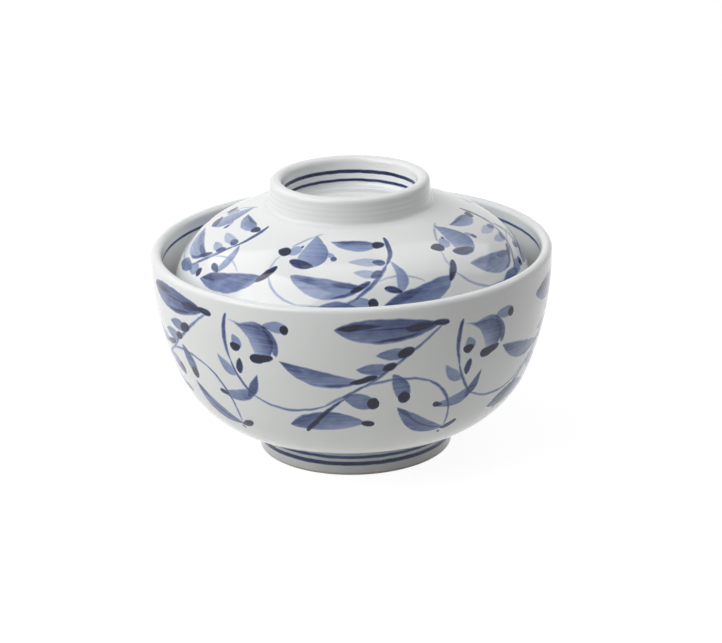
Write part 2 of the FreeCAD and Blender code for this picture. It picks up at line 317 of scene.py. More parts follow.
def throw(name, outline, zero, steps=288):
    """Spins an outline about the axis into one closed mesh, and marks each point's way along it.

    The mark, an attribute called down, is in millimetres from the outline's point zero.
    """
    bpy.ops.object.select_all(action="DESELECT")
    bpy.ops.mesh.primitive_plane_add(size=MM, location=(outline[0][0], 0.0, outline[0][1]))
    piece = bpy.context.object
    piece.name = name
    piece.data.name = name
    bpy.ops.object.transform_apply(location=True, rotation=True, scale=True)
    bpy.ops.object.mode_set(mode="EDIT")
    bpy.ops.mesh.select_mode(type="VERT")
    bpy.ops.mesh.select_all(action="SELECT")
    bpy.ops.mesh.merge(type="CENTER")
    bpy.ops.mesh.select_all(action="SELECT")
    for a, b in zip(outline, outline[1:]):
        step = (b[0] - a[0], 0.0, b[1] - a[1])
        bpy.ops.mesh.extrude_region_move(TRANSFORM_OT_translate={"value": step})
    bpy.ops.mesh.select_all(action="SELECT")
    bpy.ops.mesh.spin(steps=steps, angle=2 * math.pi, center=(0, 0, 0), axis=(0, 0, 1))
    bpy.ops.mesh.select_all(action="SELECT")
    bpy.ops.mesh.remove_doubles(threshold=0.004 * MM)
    bpy.ops.mesh.normals_make_consistent(inside=False)
    bpy.ops.object.mode_set(mode="OBJECT")
    bpy.ops.object.shade_smooth()
    mesh = piece.data
    near = {}
    mark = mesh.attributes.new("down", "FLOAT", "POINT")
    for vertex in mesh.vertices:
        out = math.hypot(vertex.co.x, vertex.co.y)
        spot = (round(out, 5), round(vertex.co.z, 5))
        if spot not in near:
            near[spot] = way_to(outline, zero, *spot)
        mark.data[vertex.index].value = near[spot]
    faces_at = Counter(edge for face in mesh.polygons for edge in face.edge_keys)
    if set(faces_at.values()) != {2}:
        raise RuntimeError(f"{name} came off the wheel open")
    return piece


# ---------------------------------------------------------------------------------------------
# The painting: each brush stroke is one small group of nodes, laid over those before it.


MATHS = "ShaderNodeMath"
VECTORS = "ShaderNodeVectorMath"


def put(tree, kind, feeds=None, **settings):
    """Adds one node, makes its settings, fills or links its sockets, and returns it."""
    made = tree.nodes.new(kind)
    for key, value in settings.items():
        setattr(made, key, value)
    for socket, value in (feeds or {}).items():
        if isinstance(value, bpy.types.NodeSocket):
            tree.links.new(value, made.inputs[socket])
        else:
            made.inputs[socket].default_value = value
    return made


def band(tree, at, middle, slope, top):
    """A socket that is top where at is middle, and falls by slope for each unit off it, to 0."""
    off = put(tree, MATHS, {0: at, 1: middle}, operation="SUBTRACT")
    away = put(tree, MATHS, {0: off.outputs[0]}, operation="ABSOLUTE")
    return put(tree, MATHS, {0: away.outputs[0], 1: -slope, 2: top}, operation="MULTIPLY_ADD",
               use_clamp=True).outputs[0]


CREEP = 0.70  # how far the cobalt spreads into the glaze at a stroke's edge, in millimetres
RIM_FALL = 1.1  # how much of a stroke's dark rim is lost in each millimetre inward
CROSSING = 0.35  # how much darker two full strokes are where they cross


def brush_group():
    """One stroke of a pointed brush, in millimetres on the sheet that the wall unrolls to.

    u runs from -1 to 1 along the stroke and v across it. The half width is
    (width + widening * u) * (1 - u * u) ** point, so a point of 1 tapers both ends and 0.3 rounds them.
    """
    group = bpy.data.node_groups.new("brush_stroke", "ShaderNodeTree")
    sockets = (("Sheet", "NodeSocketVector"), ("Middle", "NodeSocketVector"), ("Turn", "NodeSocketVector"),
               ("Half length", "NodeSocketVector"), ("Width", "NodeSocketFloat"),
               ("Widening", "NodeSocketFloat"), ("Point", "NodeSocketFloat"), ("Bow", "NodeSocketFloat"),
               ("Ink", "NodeSocketFloat"), ("Ink along", "NodeSocketFloat"),
               ("Ink across", "NodeSocketFloat"), ("Edge", "NodeSocketFloat"),
               ("Grain", "NodeSocketFloat"), ("Under", "NodeSocketFloat"))
    for name, kind in sockets:
        group.interface.new_socket(name, in_out="INPUT", socket_type=kind)
    group.interface.new_socket("Ink", in_out="OUTPUT", socket_type="NodeSocketFloat")
    given = put(group, "NodeGroupInput").outputs
    place = put(group, "ShaderNodeMapping", {"Vector": given["Sheet"], "Location": given["Middle"],
                                             "Rotation": given["Turn"], "Scale": given["Half length"]},
                vector_type="TEXTURE")
    uv = put(group, "ShaderNodeSeparateXYZ", {0: place.outputs[0]}).outputs
    square = put(group, MATHS, {0: uv[0], 1: uv[0]}, operation="MULTIPLY")
    body = put(group, MATHS, {0: 1.0, 1: square.outputs[0]}, operation="SUBTRACT")
    sag = put(group, MATHS, {0: body.outputs[0], 1: given["Bow"]}, operation="MULTIPLY")
    across = put(group, MATHS, {0: uv[1], 1: sag.outputs[0]}, operation="SUBTRACT")
    taper = put(group, MATHS, {0: body.outputs[0], 1: given["Point"]}, operation="POWER")
    swell = put(group, MATHS, {0: uv[0], 1: given["Widening"], 2: given["Width"]}, operation="MULTIPLY_ADD")
    half = put(group, MATHS, {0: taper.outputs[0], 1: swell.outputs[0]}, operation="MULTIPLY")
    away = put(group, MATHS, {0: across.outputs[0]}, operation="ABSOLUTE")
    within = put(group, MATHS, {0: half.outputs[0], 1: away.outputs[0]}, operation="SUBTRACT")
    # The glaze lets the cobalt creep about two thirds of a millimetre, which softens each edge.
    cover = put(group, MATHS, {0: within.outputs[0], 1: 1 / CREEP}, operation="MULTIPLY", use_clamp=True)
    long = put(group, MATHS, {0: uv[0], 1: given["Ink along"], 2: given["Ink"]}, operation="MULTIPLY_ADD")
    wide = put(group, MATHS, {0: across.outputs[0], 1: given["Ink across"], 2: long.outputs[0]},
               operation="MULTIPLY_ADD")
    # Cobalt gathers in a darker line just inside the edge of a wet stroke.
    gather = put(group, MATHS, {0: within.outputs[0], 1: -RIM_FALL, 2: 1.0}, operation="MULTIPLY_ADD",
                 use_clamp=True)
    rimmed = put(group, MATHS, {0: gather.outputs[0], 1: given["Edge"], 2: wide.outputs[0]},
                 operation="MULTIPLY_ADD")
    grained = put(group, MATHS, {0: rimmed.outputs[0], 1: given["Grain"]}, operation="MULTIPLY",
                  use_clamp=True)
    ink = put(group, MATHS, {0: grained.outputs[0], 1: cover.outputs[0]}, operation="MULTIPLY")
    most = put(group, MATHS, {0: ink.outputs[0], 1: given["Under"]}, operation="MAXIMUM")
    both = put(group, MATHS, {0: ink.outputs[0], 1: given["Under"]}, operation="MULTIPLY")
    total = put(group, MATHS, {0: both.outputs[0], 1: CROSSING, 2: most.outputs[0]},
                operation="MULTIPLY_ADD", use_clamp=True)
    put(group, "NodeGroupOutput", {0: total.outputs[0]})
    return group


# Each stroke: start and end as (degrees round, millimetres down), full width and bow in millimetres
# (a bow is to the right hand of the stroke as seen from its end), lean (wider towards the end if
# above 0), point, ink, ink along, ink across, edge.
BOWL_STROKES = (
    # flower: stem, petal with its darker rim, and its black base
    ((-36.8, 6.7), (-36.7, 27.4), 1.7, 1.8, -0.25, 0.3, 0.64, -0.12, 0.0, 0.0),
    ((-37.1, 25.8), (-31.0, 40.2), 1.2, 1.0, 0.0, 0.2, 0.60, 0.0, 0.0, 0.0),
    ((-36.4, 9.0), (-31.6, 10.6), 0.9, -0.2, 0.5, 0.3, 0.36, 0.08, 0.0, 0.0),
    ((-34.2, 10.0), (-24.8, 23.4), 10.6, -4.4, 0.75, 0.42, 0.47, -0.02, -0.045, 0.08),
    ((-25.4, 9.2), (-21.8, 21.4), 3.4, -1.3, 0.1, 0.45, 0.57, 0.0, -0.03, 0.0),
    ((-33.0, 9.9), (-23.7, 10.2), 2.0, -0.8, 0.4, 0.6, 0.46, 0.12, 0.0, 0.0),
    ((-30.1, 23.4), (-22.8, 21.9), 3.2, 0.0, -0.1, 0.35, 1.0, 0.0, 0.0, 0.0),
    ((-30.1, 23.3), (-25.6, 23.1), 3.9, 0.0, 0.0, 0.4, 1.0, 0.0, 0.0, 0.0),
    # bud at the flower's shoulder
    ((-25.3, 9.1), (-17.9, 9.6), 4.5, -0.1, 0.3, 0.5, 0.38, 0.0, 0.0, 0.08),
    ((-20.3, 9.9), (-17.6, 9.9), 3.7, 0.0, 0.0, 0.5, 1.0, 0.0, 0.0, 0.0),
    # bud and seed inside the flower's curve
    ((-34.9, 14.6), (-33.9, 21.0), 4.4, -0.5, 0.2, 0.55, 0.38, 0.0, 0.0, 0.06),
    ((-36.4, 19.1), (-32.8, 19.3), 3.5, 0.4, 0.0, 0.5, 0.97, 0.0, 0.0, 0.0),
    ((-33.5, 23.9), (-34.3, 30.8), 3.0, 0.2, 0.15, 0.6, 0.90, 0.0, 0.0, 0.05),
    # half-moon leaf and crescent on the stem
    ((-41.9, 24.3), (-36.0, 32.4), 4.3, 0.6, 0.35, 0.7, 0.36, 0.02, 0.02, 0.10),
    ((-44.4, 41.5), (-29.9, 37.0), 5.2, 2.4, 0.30, 0.6, 0.44, 0.06, 0.015, 0.08),
    ((-33.4, 41.4), (-28.6, 29.8), 3.9, 0.9, -0.35, 0.8, 0.60, 0.02, 0.0, 0.05),
    ((-44.4, 41.2), (-41.0, 42.3), 2.1, 0.0, -0.2, 0.4, 0.86, -0.1, 0.0, 0.0),
    # vine along the wall, and the stem that climbs from it
    ((-31.6, 39.5), (-8.0, 41.0), 1.0, 4.1, 0.0, 0.15, 0.50, 0.0, 0.0, 0.0),
    ((-8.8, 41.3), (3.0, 32.4), 1.2, 0.0, 0.0, 0.15, 0.50, 0.08, 0.0, 0.0),
    ((2.8, 32.9), (25.0, 10.0), 1.2, 0.1, -0.1, 0.15, 0.50, 0.0, 0.0, 0.0),
    ((-1.2, 36.2), (-15.6, 54.6), 2.2, 0.9, 0.5, 0.3, 0.80, 0.12, 0.0, 0.0),
    # curl
    ((-0.6, 34.6), (22.4, 33.1), 1.1, -3.5, 0.0, 0.15, 0.48, 0.0, 0.0, 0.0),
    ((21.8, 32.7), (29.8, 50.0), 1.2, -2.5, 0.0, 0.15, 0.56, 0.0, 0.0, 0.0),
    ((29.8, 49.0), (29.7, 57.0), 1.0, -0.2, -0.2, 0.2, 0.50, 0.0, 0.0, 0.0),
    ((28.3, 59.2), (29.4, 61.3), 1.2, 0.0, 0.0, 0.5, 0.62, 0.0, 0.0, 0.0),
    # long leaf, its dark bands and its end
    ((-21.4, 22.8), (2.6, 30.2), 6.8, 2.9, -0.05, 0.85, 0.47, -0.09, -0.02, 0.12),
    ((-21.2, 22.8), (-14.0, 27.3), 2.4, 0.3, 0.3, 0.8, 0.54, -0.1, 0.0, 0.0),
    ((-10.5, 32.3), (0.5, 31.2), 1.6, 0.3, 0.0, 0.6, 0.56, 0.0, 0.0, 0.0),
    ((-1.6, 31.2), (6.5, 28.3), 2.5, 0.2, 0.1, 0.4, 1.0, 0.0, 0.0, 0.0),
    # big leaf under the rim, its dark upper band, its rib and its end
    ((-5.4, 9.1), (24.5, 9.5), 9.6, 1.0, -0.18, 0.75, 0.55, 0.03, -0.015, 0.13),
    ((-4.8, 8.9), (8.5, 7.8), 2.6, -0.2, -0.3, 0.6, 0.86, -0.08, 0.0, 0.0),
    ((0.0, 9.3), (21.5, 9.4), 0.8, 0.1, 0.0, 0.4, 0.78, 0.0, 0.0, 0.0),
    ((4.0, 14.2), (20.0, 11.3), 1.4, 0.8, 0.0, 0.6, 0.74, 0.0, 0.0, 0.0),
    ((14.0, 9.9), (23.4, 9.3), 3.4, 0.2, -0.3, 0.6, 0.76, 0.06, 0.0, 0.0),
    ((21.6, 9.2), (27.0, 9.8), 2.4, -0.2, 0.1, 0.35, 0.97, 0.0, 0.0, 0.0),
    # berries on the climbing stem
    ((5.7, 19.8), (14.5, 19.5), 4.6, 0.1, 0.35, 0.6, 0.46, -0.05, 0.0, 0.10),
    ((11.8, 20.6), (16.8, 18.4), 3.7, 0.0, 0.0, 0.5, 0.98, 0.0, 0.0, 0.0),
    ((0.3, 25.2), (10.2, 25.6), 4.9, 0.1, 0.30, 0.6, 0.45, -0.05, 0.0, 0.10),
    ((7.8, 25.8), (11.9, 23.7), 3.1, 0.0, 0.0, 0.5, 0.97, 0.0, 0.0, 0.0),
    # bud below the stem, bud in the curl
    ((-3.6, 36.6), (5.8, 41.4), 6.9, 0.0, 0.25, 0.6, 0.47, 0.0, 0.0, 0.10),
    ((3.4, 40.6), (7.1, 40.7), 5.3, 0.0, 0.0, 0.5, 1.0, 0.0, 0.0, 0.0),
    ((10.8, 28.0), (15.0, 40.2), 6.4, -0.5, 0.2, 0.6, 0.51, 0.0, -0.02, 0.10),
    ((12.4, 38.6), (16.2, 38.7), 5.2, 0.0, 0.0, 0.5, 1.0, 0.0, 0.0, 0.0),
    # leaf under the vine and its end
    ((-20.7, 51.7), (3.0, 49.5), 9.1, -1.8, 0.0, 0.8, 0.48, -0.10, -0.02, 0.12),
    ((-20.4, 51.6), (-9.6, 45.6), 3.0, -1.0, 0.0, 0.8, 0.46, -0.05, 0.0, 0.0),
    ((1.6, 49.6), (5.8, 50.9), 2.8, -0.2, 0.0, 0.35, 1.0, 0.0, 0.0, 0.0),
    # leaf under the curl, its rib and its end
    ((12.4, 42.8), (30.6, 58.0), 7.1, 3.5, -0.08, 0.85, 0.50, 0.03, 0.01, 0.12),
    ((14.4, 44.9), (29.8, 57.6), 1.1, 2.6, 0.0, 0.5, 0.66, 0.05, 0.0, 0.0),
    ((12.6, 43.2), (18.0, 49.6), 2.4, 0.2, 0.0, 0.8, 0.62, -0.05, 0.0, 0.0),
    ((29.0, 58.4), (34.5, 55.1), 2.9, 0.5, 0.15, 0.4, 1.0, 0.0, 0.0, 0.0),
)

LID_STROKES = (
    # flower: its black heart at the left, wash, petal and base
    ((-34.3, 17.4), (-27.4, 18.2), 4.5, 0.0, 0.2, 0.6, 0.98, 0.0, 0.0, 0.0),
    ((-29.0, 18.6), (-23.2, 15.0), 4.8, 0.0, 0.1, 0.6, 0.30, 0.0, 0.0, 0.08),
    ((-24.5, 14.3), (-22.9, 14.3), 1.5, 0.0, 0.0, 0.5, 0.62, 0.0, 0.0, 0.0),
    ((-28.4, 15.0), (-20.6, 7.9), 1.1, -0.6, 0.0, 0.2, 0.27, -0.04, 0.0, 0.0),
    ((-20.8, 8.1), (-15.4, 5.7), 0.9, -0.2, -0.2, 0.4, 0.24, -0.08, 0.0, 0.0),
    ((-19.6, 7.0), (-18.2, 25.4), 12.4, -2.1, 0.45, 0.60, 0.39, 0.0, -0.015, 0.12),
    ((-26.1, 21.8), (-15.2, 23.8), 4.1, 0.5, -0.05, 0.5, 0.80, -0.04, 0.0, 0.0),
    ((-11.2, 16.6), (-7.0, 19.0), 2.4, 0.0, 0.0, 0.5, 0.32, 0.0, 0.0, 0.0),
    ((-8.9, 19.5), (-6.1, 19.6), 2.5, 0.0, 0.0, 0.5, 0.60, 0.0, 0.0, 0.0),
    # vine
    ((-31.2, 20.3), (-31.1, 31.3), 0.9, 1.0, 0.0, 0.2, 0.22, 0.0, 0.0, 0.0),
    ((-31.3, 30.4), (-18.0, 40.2), 0.9, 2.0, 0.0, 0.2, 0.31, 0.0, 0.0, 0.0),
    ((-18.6, 40.0), (-0.8, 38.9), 0.8, 0.9, 0.0, 0.2, 0.27, 0.0, 0.0, 0.0),
    # twig
    ((17.6, 8.8), (13.2, 24.6), 2.3, -1.7, -0.30, 0.25, 0.67, -0.06, 0.0, 0.0),
    ((13.6, 24.0), (-2.0, 39.6), 1.5, -1.1, -0.15, 0.2, 0.54, 0.0, 0.0, 0.0),
    # leaf under the knob and its end
    ((-11.0, 9.9), (13.4, 12.7), 5.6, 1.3, 0.22, 0.75, 0.44, 0.0, -0.035, 0.12),
    ((-10.4, 10.2), (9.6, 10.8), 1.6, -0.2, 0.0, 0.6, 0.56, -0.04, 0.0, 0.0),
    ((10.2, 13.0), (16.4, 12.6), 3.5, 0.0, -0.2, 0.35, 0.97, -0.04, 0.0, 0.0),
    # pale leaflets with dark ends
    ((-1.4, 21.0), (12.2, 22.3), 4.0, 0.1, 0.25, 0.6, 0.24, 0.02, 0.0, 0.08),
    ((8.2, 21.6), (13.5, 22.9), 3.2, 0.0, 0.1, 0.45, 0.60, 0.06, 0.0, 0.0),
    ((0.3, 26.5), (9.8, 27.9), 3.5, 0.1, 0.25, 0.6, 0.26, 0.0, 0.0, 0.08),
    ((6.8, 28.9), (11.7, 26.5), 3.1, 0.0, 0.0, 0.5, 0.61, 0.0, 0.0, 0.0),
    # crescent and curl beside the twig
    ((15.6, 22.0), (15.8, 36.7), 4.0, -2.4, 0.25, 0.7, 0.38, 0.0, -0.02, 0.08),
    ((16.9, 36.2), (11.1, 33.8), 2.7, 0.3, 0.1, 0.45, 0.82, 0.0, 0.0, 0.0),
    ((8.9, 31.2), (26.2, 33.3), 0.8, -2.9, 0.0, 0.2, 0.28, 0.0, 0.0, 0.0),
    # big leaf, its dark bands and its end
    ((-23.2, 28.9), (4.0, 33.4), 8.1, 2.2, -0.05, 0.80, 0.42, -0.02, -0.02, 0.12),
    ((-21.8, 29.5), (-8.0, 31.8), 2.6, -0.2, 0.0, 0.8, 0.48, -0.03, 0.0, 0.0),
    ((-7.6, 31.3), (3.4, 32.9), 2.6, 0.2, 0.0, 0.6, 0.55, 0.0, 0.0, 0.0),
    ((-7.8, 37.2), (3.0, 33.6), 1.5, 0.5, 0.0, 0.6, 0.56, 0.0, 0.0, 0.0),
    ((-1.0, 35.0), (6.6, 30.6), 2.2, 0.2, 0.0, 0.4, 0.80, 0.0, 0.0, 0.0),
    # low leaf, its dark band and its end
    ((9.0, 41.0), (37.6, 32.8), 7.8, 1.8, 0.08, 0.80, 0.50, -0.03, -0.02, 0.12),
    ((9.6, 40.7), (25.0, 35.4), 3.4, -0.3, 0.0, 0.8, 0.62, -0.05, 0.0, 0.0),
    ((35.6, 35.2), (41.4, 27.2), 2.7, 0.2, 0.1, 0.4, 0.97, 0.0, 0.0, 0.0),
    # bud and leaf beside the seat
    ((-3.2, 40.0), (6.0, 38.9), 4.6, 0.0, 0.2, 0.6, 0.38, 0.0, 0.0, 0.10),
    ((4.8, 39.3), (8.4, 39.4), 3.5, 0.0, 0.0, 0.5, 0.98, 0.0, 0.0, 0.0),
    ((-14.1, 43.1), (1.4, 40.2), 5.0, -0.8, 0.0, 0.8, 0.50, 0.0, 0.0, 0.10),
)

REPEATS = 5  # the vine comes round five times
# Each stroke is drawn on the sheet whose middle is nearest, in degrees round, so no sheet's edge
# cuts it.
SHEET_MIDDLES = (-32.0, -6.0, 18.0)
# How the repeats after and before the first are shifted, as (degrees round, millimetres down).
BOWL_SHIFTS = ((-3.9, 2.9), (2.6, -0.9))
LID_SHIFTS = ((-1.3, 1.9), (0.9, -1.7))
LID_SHEET_RADIUS = 55.0  # millimetres: the dome unrolls as a cylinder about halfway out
TREMOR = 0.5  # how far the hand strays, in millimetres
LINE_EDGE = 2.4  # a turned line goes from bare to full in 1 / LINE_EDGE of a millimetre
LINE_WAVER = 0.45  # share of the hand's tremor left in a line drawn on the turning wheel


def wrapped_sheet(tree, sheet, centre, repeat, shifts):
    """The unrolled wall, cut into one sheet for each repeat, each laid with its own small shift.

    centre and repeat are in millimetres round the wall. shifts are the shifts of the repeats after
    and before the first, (round, down) each: a hand-painted vine never closes quite evenly.
    """
    turn = 2 * math.pi / REPEATS
    waves = []
    for after, before in zip(*shifts):
        rise = (after - before) / (2 * math.sin(turn))
        lift = (after + before) / (2 * (1 - math.cos(turn)))
        waves.append((math.hypot(rise, lift), math.atan2(lift, rise), lift))
    half = Vector((repeat / 2 - centre, 0.0, 0.0))
    moved = put(tree, VECTORS, {0: sheet, 1: half}, operation="ADD")
    count = put(tree, VECTORS, {0: moved.outputs[0], 1: (repeat, 0.0, 0.0)}, operation="SNAP")
    local = put(tree, VECTORS, {0: sheet, 1: count.outputs[0]}, operation="SUBTRACT")
    along = put(tree, "ShaderNodeSeparateXYZ", {0: count.outputs[0]}).outputs[0]
    twice = put(tree, "ShaderNodeCombineXYZ", {0: along, 1: along}).outputs[0]
    phase = put(tree, VECTORS, {0: twice, 1: (turn / repeat, turn / repeat, 0.0),
                                2: (-waves[0][1], -waves[1][1], 0.0)}, operation="MULTIPLY_ADD")
    wave = put(tree, VECTORS, {0: phase.outputs[0]}, operation="SINE")
    shift = put(tree, VECTORS, {0: wave.outputs[0], 1: (waves[0][0], waves[1][0], 0.0),
                                2: (waves[0][2], waves[1][2], 0.0)}, operation="MULTIPLY_ADD")
    return put(tree, VECTORS, {0: local.outputs[0], 1: shift.outputs[0]}, operation="SUBTRACT").outputs[0]


def painting(tree, strokes, radius, shifts, lines):
    """All the cobalt on a piece, from 0 for none to 1 for a full brush, as one socket.

    radius is the reference radius of the unrolled wall, in millimetres. shifts, as (degrees round,
    millimetres down), are those of the repeats after and before the first. Each of lines is a ring
    turned on the wheel: how far down it is, its width and its ink.
    """
    object_at = put(tree, "ShaderNodeTexCoord").outputs["Object"]
    xyz = put(tree, "ShaderNodeSeparateXYZ", {0: object_at}).outputs
    back = put(tree, MATHS, {0: xyz[1], 1: -1.0}, operation="MULTIPLY")
    turned = put(tree, MATHS, {0: xyz[0], 1: back.outputs[0]}, operation="ARCTAN2")
    around = put(tree, MATHS, {0: turned.outputs[0], 1: radius}, operation="MULTIPLY")
    down = put(tree, "ShaderNodeAttribute", attribute_name="down").outputs["Fac"]
    flat = put(tree, "ShaderNodeCombineXYZ", {0: around.outputs[0], 1: down})
    # The hand's tremor: about a quarter of a millimetre over 5 mm of stroke.
    tremor = put(tree, "ShaderNodeTexNoise", {"Vector": object_at, "Scale": 200.0, "Detail": 1.5})
    stray = put(tree, VECTORS, {0: tremor.outputs["Color"], 1: (2 * TREMOR, 2 * TREMOR, 0.0),
                                2: (-TREMOR, -TREMOR, 0.0)}, operation="MULTIPLY_ADD")
    sheet = put(tree, VECTORS, {0: flat.outputs[0], 1: stray.outputs[0]}, operation="ADD").outputs[0]
    # Brush hairs draw streaks about 0.8 mm apart and 12 mm long, and the wash is mottled over 4 mm.
    # Together they leave from about 0.8 to 1.2 of a stroke's ink.
    hair_at = put(tree, "ShaderNodeCombineXYZ", {0: xyz[0], 1: xyz[1], 2: down})
    hair_scale = put(tree, VECTORS, {0: hair_at.outputs[0], 1: (80.0, 80.0, 1.2)}, operation="MULTIPLY")
    hairs = put(tree, "ShaderNodeTexNoise", {"Vector": hair_scale.outputs[0], "Scale": 1.0, "Detail": 2.0})
    mottle = put(tree, "ShaderNodeTexNoise", {"Vector": object_at, "Scale": 260.0, "Detail": 2.0})
    grain = put(tree, MATHS, {0: hairs.outputs["Fac"], 1: 0.55, 2: 0.55}, operation="MULTIPLY_ADD")
    grain = put(tree, MATHS, {0: mottle.outputs["Fac"], 1: 0.35, 2: grain.outputs[0]},
                operation="MULTIPLY_ADD").outputs[0]

    repeat = 2 * math.pi * radius / REPEATS
    per_degree = math.radians(radius)
    shifts = [(degrees * per_degree, far) for degrees, far in shifts]
    centres = [c * per_degree for c in SHEET_MIDDLES]
    sheets = [wrapped_sheet(tree, sheet, c, repeat, shifts) for c in centres]
    brush = bpy.data.node_groups.get("brush_stroke") or brush_group()
    ink = 0.0
    for start, end, width, bow, lean, point, load, along, across, edge in strokes:
        a = Vector((start[0] * per_degree, start[1]))
        b = Vector((end[0] * per_degree, end[1]))
        middle = (a + b) / 2
        half = (b - a) / 2
        nearest_sheet = min(range(len(centres)), key=lambda i: abs(centres[i] - middle.x))
        most = max((1 - u * u) ** point * (1 + lean * u) for u in [i / 20 for i in range(-19, 20)])
        widest = (width + CREEP) / 2 / most
        feeds = {"Sheet": sheets[nearest_sheet], "Middle": (middle.x, middle.y, 0.0),
                 "Turn": (0.0, 0.0, math.atan2(half.y, half.x)), "Half length": (half.length, 1.0, 1.0),
                 "Width": widest, "Widening": widest * lean, "Point": point,
                 "Bow": bow, "Ink": load, "Ink along": along, "Ink across": across, "Edge": edge,
                 "Grain": grain, "Under": ink}
        ink = put(tree, "ShaderNodeGroup", feeds, node_tree=brush).outputs[0]
    wavering = put(tree, "ShaderNodeSeparateXYZ", {0: stray.outputs[0]}).outputs[0]
    ringed = put(tree, MATHS, {0: wavering, 1: LINE_WAVER, 2: down}, operation="MULTIPLY_ADD").outputs[0]
    for far, width, load in lines:
        cover = band(tree, ringed, far, LINE_EDGE, LINE_EDGE * width / 2 + 0.5)
        loaded = put(tree, MATHS, {0: grain, 1: load}, operation="MULTIPLY")
        ring = put(tree, MATHS, {0: cover, 1: loaded.outputs[0]}, operation="MULTIPLY")
        ink = put(tree, MATHS, {0: ring.outputs[0], 1: ink}, operation="MAXIMUM").outputs[0]
    return ink, down, object_at


GLAZE_ROUGH = 0.09  # fired glaze: sharp reflections, a little softened
BISCUIT_ROUGH = 0.65  # bare fired clay
WIPED_EDGE = 3.0  # the glaze ends within 1 / WIPED_EDGE of a millimetre


def glazed_porcelain(name, colours, strokes, radius, shifts, lines, glaze_pools_and_shade, bare=None):
    """Porcelain thrown and turned, painted in cobalt, dipped in clear glaze and fired.

    The body is dense and white, and the glaze over it lies like a film of slightly blue glass, so
    highlights are small and sharp, the wall waves a little in them, and the painting has soft edges.
    Where the foot stands the glaze was wiped off, and the body is matt and a little warm there.

    Each of pools is a band where the glaze gathers thick and is painted darker as the shade of the crease
    it fills: how far down, how far it reaches and how much it shows. bare is the stretch without glaze,
    from and to, in millimetres down.
    """
    material = bpy.data.materials.new(name)
    material.use_nodes = True
    tree = material.node_tree
    tree.nodes.clear()
    ink, down, object_at = painting(tree, strokes, radius, shifts, lines)
    # The glaze is a little uneven in colour over about 30 mm, by under one part in fifty.
    cloud = put(tree, "ShaderNodeTexNoise", {"Vector": object_at, "Scale": 35.0, "Detail": 2.0})
    shade = put(tree, "ShaderNodeValToRGB", {0: cloud.outputs["Fac"]})
    glaze = Vector(colours.glaze[:])
    shade.color_ramp.elements[0].position = 0.3
    shade.color_ramp.elements[0].color = glaze * 0.975
    shade.color_ramp.elements[1].position = 0.7
    shade.color_ramp.elements[1].color = glaze
    ground = shade.outputs["Color"]
    # Each pool tints a crease darker and bluer: glaze gathered thick there, together with painted shade of
    # the crease.
    for far, reach, share in glaze_pools_and_shade:
        part = band(tree, down, far, share / reach, share)
        ground = put(tree, "ShaderNodeMix", {0: part, 6: ground, 7: tuple(colours.pool)},
                     data_type="RGBA").outputs[2]
    paint = put(tree, "ShaderNodeValToRGB", {0: ink})
    ramp = paint.color_ramp
    ramp.elements[0].position = 0.0
    ramp.elements[0].color = tuple(colours.wash)
    ramp.elements[1].position = 1.0
    ramp.elements[1].color = tuple(colours.black)
    for position, shown in ((0.30, colours.wash), (0.56, colours.mid), (0.80, colours.deep)):
        ramp.elements.new(position).color = tuple(shown)
    # Ink above about 0.3 hides the glaze's own colour, and thinner ink lets it through.
    covering = put(tree, MATHS, {0: ink, 1: 3.4}, operation="MULTIPLY", use_clamp=True)
    painted = put(tree, "ShaderNodeMix", {0: covering.outputs[0], 6: ground, 7: paint.outputs["Color"]},
                  data_type="RGBA").outputs[2]
    # Glaze ripples: 9 mm apart and a few hundredths of a millimetre high, with a finer 2 mm peel.
    ripple = put(tree, "ShaderNodeTexNoise", {"Vector": object_at, "Scale": 110.0, "Detail": 0.0})
    peel = put(tree, "ShaderNodeTexNoise", {"Vector": object_at, "Scale": 480.0, "Detail": 1.0})
    height = put(tree, MATHS, {0: peel.outputs["Fac"], 1: 0.12, 2: ripple.outputs["Fac"]},
                 operation="MULTIPLY_ADD")
    bump = put(tree, "ShaderNodeBump", {"Strength": 0.35, "Distance": 0.00008, "Height": height.outputs[0]})
    shader = put(tree, "ShaderNodeBsdfPrincipled", {"Normal": bump.outputs[0], "IOR": 1.45,
                                                    "Roughness": GLAZE_ROUGH})
    if bare:
        first, last = bare
        wiped = band(tree, down, (first + last) / 2, WIPED_EDGE, WIPED_EDGE * (last - first) / 2)
        dull = put(tree, MATHS, {0: wiped, 1: BISCUIT_ROUGH - GLAZE_ROUGH, 2: GLAZE_ROUGH},
                   operation="MULTIPLY_ADD")
        tree.links.new(dull.outputs[0], shader.inputs["Roughness"])
        painted = put(tree, "ShaderNodeMix", {0: wiped, 6: painted, 7: tuple(colours.biscuit)},
                      data_type="RGBA").outputs[2]
    tree.links.new(painted, shader.inputs["Base Color"])
    put(tree, "ShaderNodeOutputMaterial", {0: shader.outputs[0]})
    return material


def set_down(piece, body, node, material):
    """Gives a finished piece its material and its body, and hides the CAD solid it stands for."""
    piece.data.materials.clear()
    piece.data.materials.append(material)
    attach(piece, body)
    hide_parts(node)


def sight(tree):
    """A socket that is 1 for rays from the camera, from a reflection or through glass, and else 0."""
    path = put(tree, "ShaderNodeLightPath").outputs
    seen = put(tree, MATHS, {0: path["Is Camera Ray"], 1: path["Is Glossy Ray"]}, operation="MAXIMUM")
    return put(tree, MATHS, {0: seen.outputs[0], 1: path["Is Transmission Ray"]},
               operation="MAXIMUM").outputs[0]


def hang_lamp(name, middle, round_, up, size, watts):
    """Hangs a soft box one metre from middle, facing it.

    round_ is in degrees from the front, with the left below 0. up is in degrees above the floor.
    """
    a = math.radians(round_)
    e = math.radians(up)
    way = Vector((math.sin(a) * math.cos(e), -math.cos(a) * math.cos(e), math.sin(e)))
    bpy.ops.object.light_add(type="AREA", location=middle + way)
    lamp = bpy.context.object
    lamp.name = name
    lamp.data.shape = "RECTANGLE"
    lamp.data.size, lamp.data.size_y = size
    lamp.data.energy = watts
    lamp.rotation_euler = (-way).to_track_quat("-Z", "Y").to_euler()


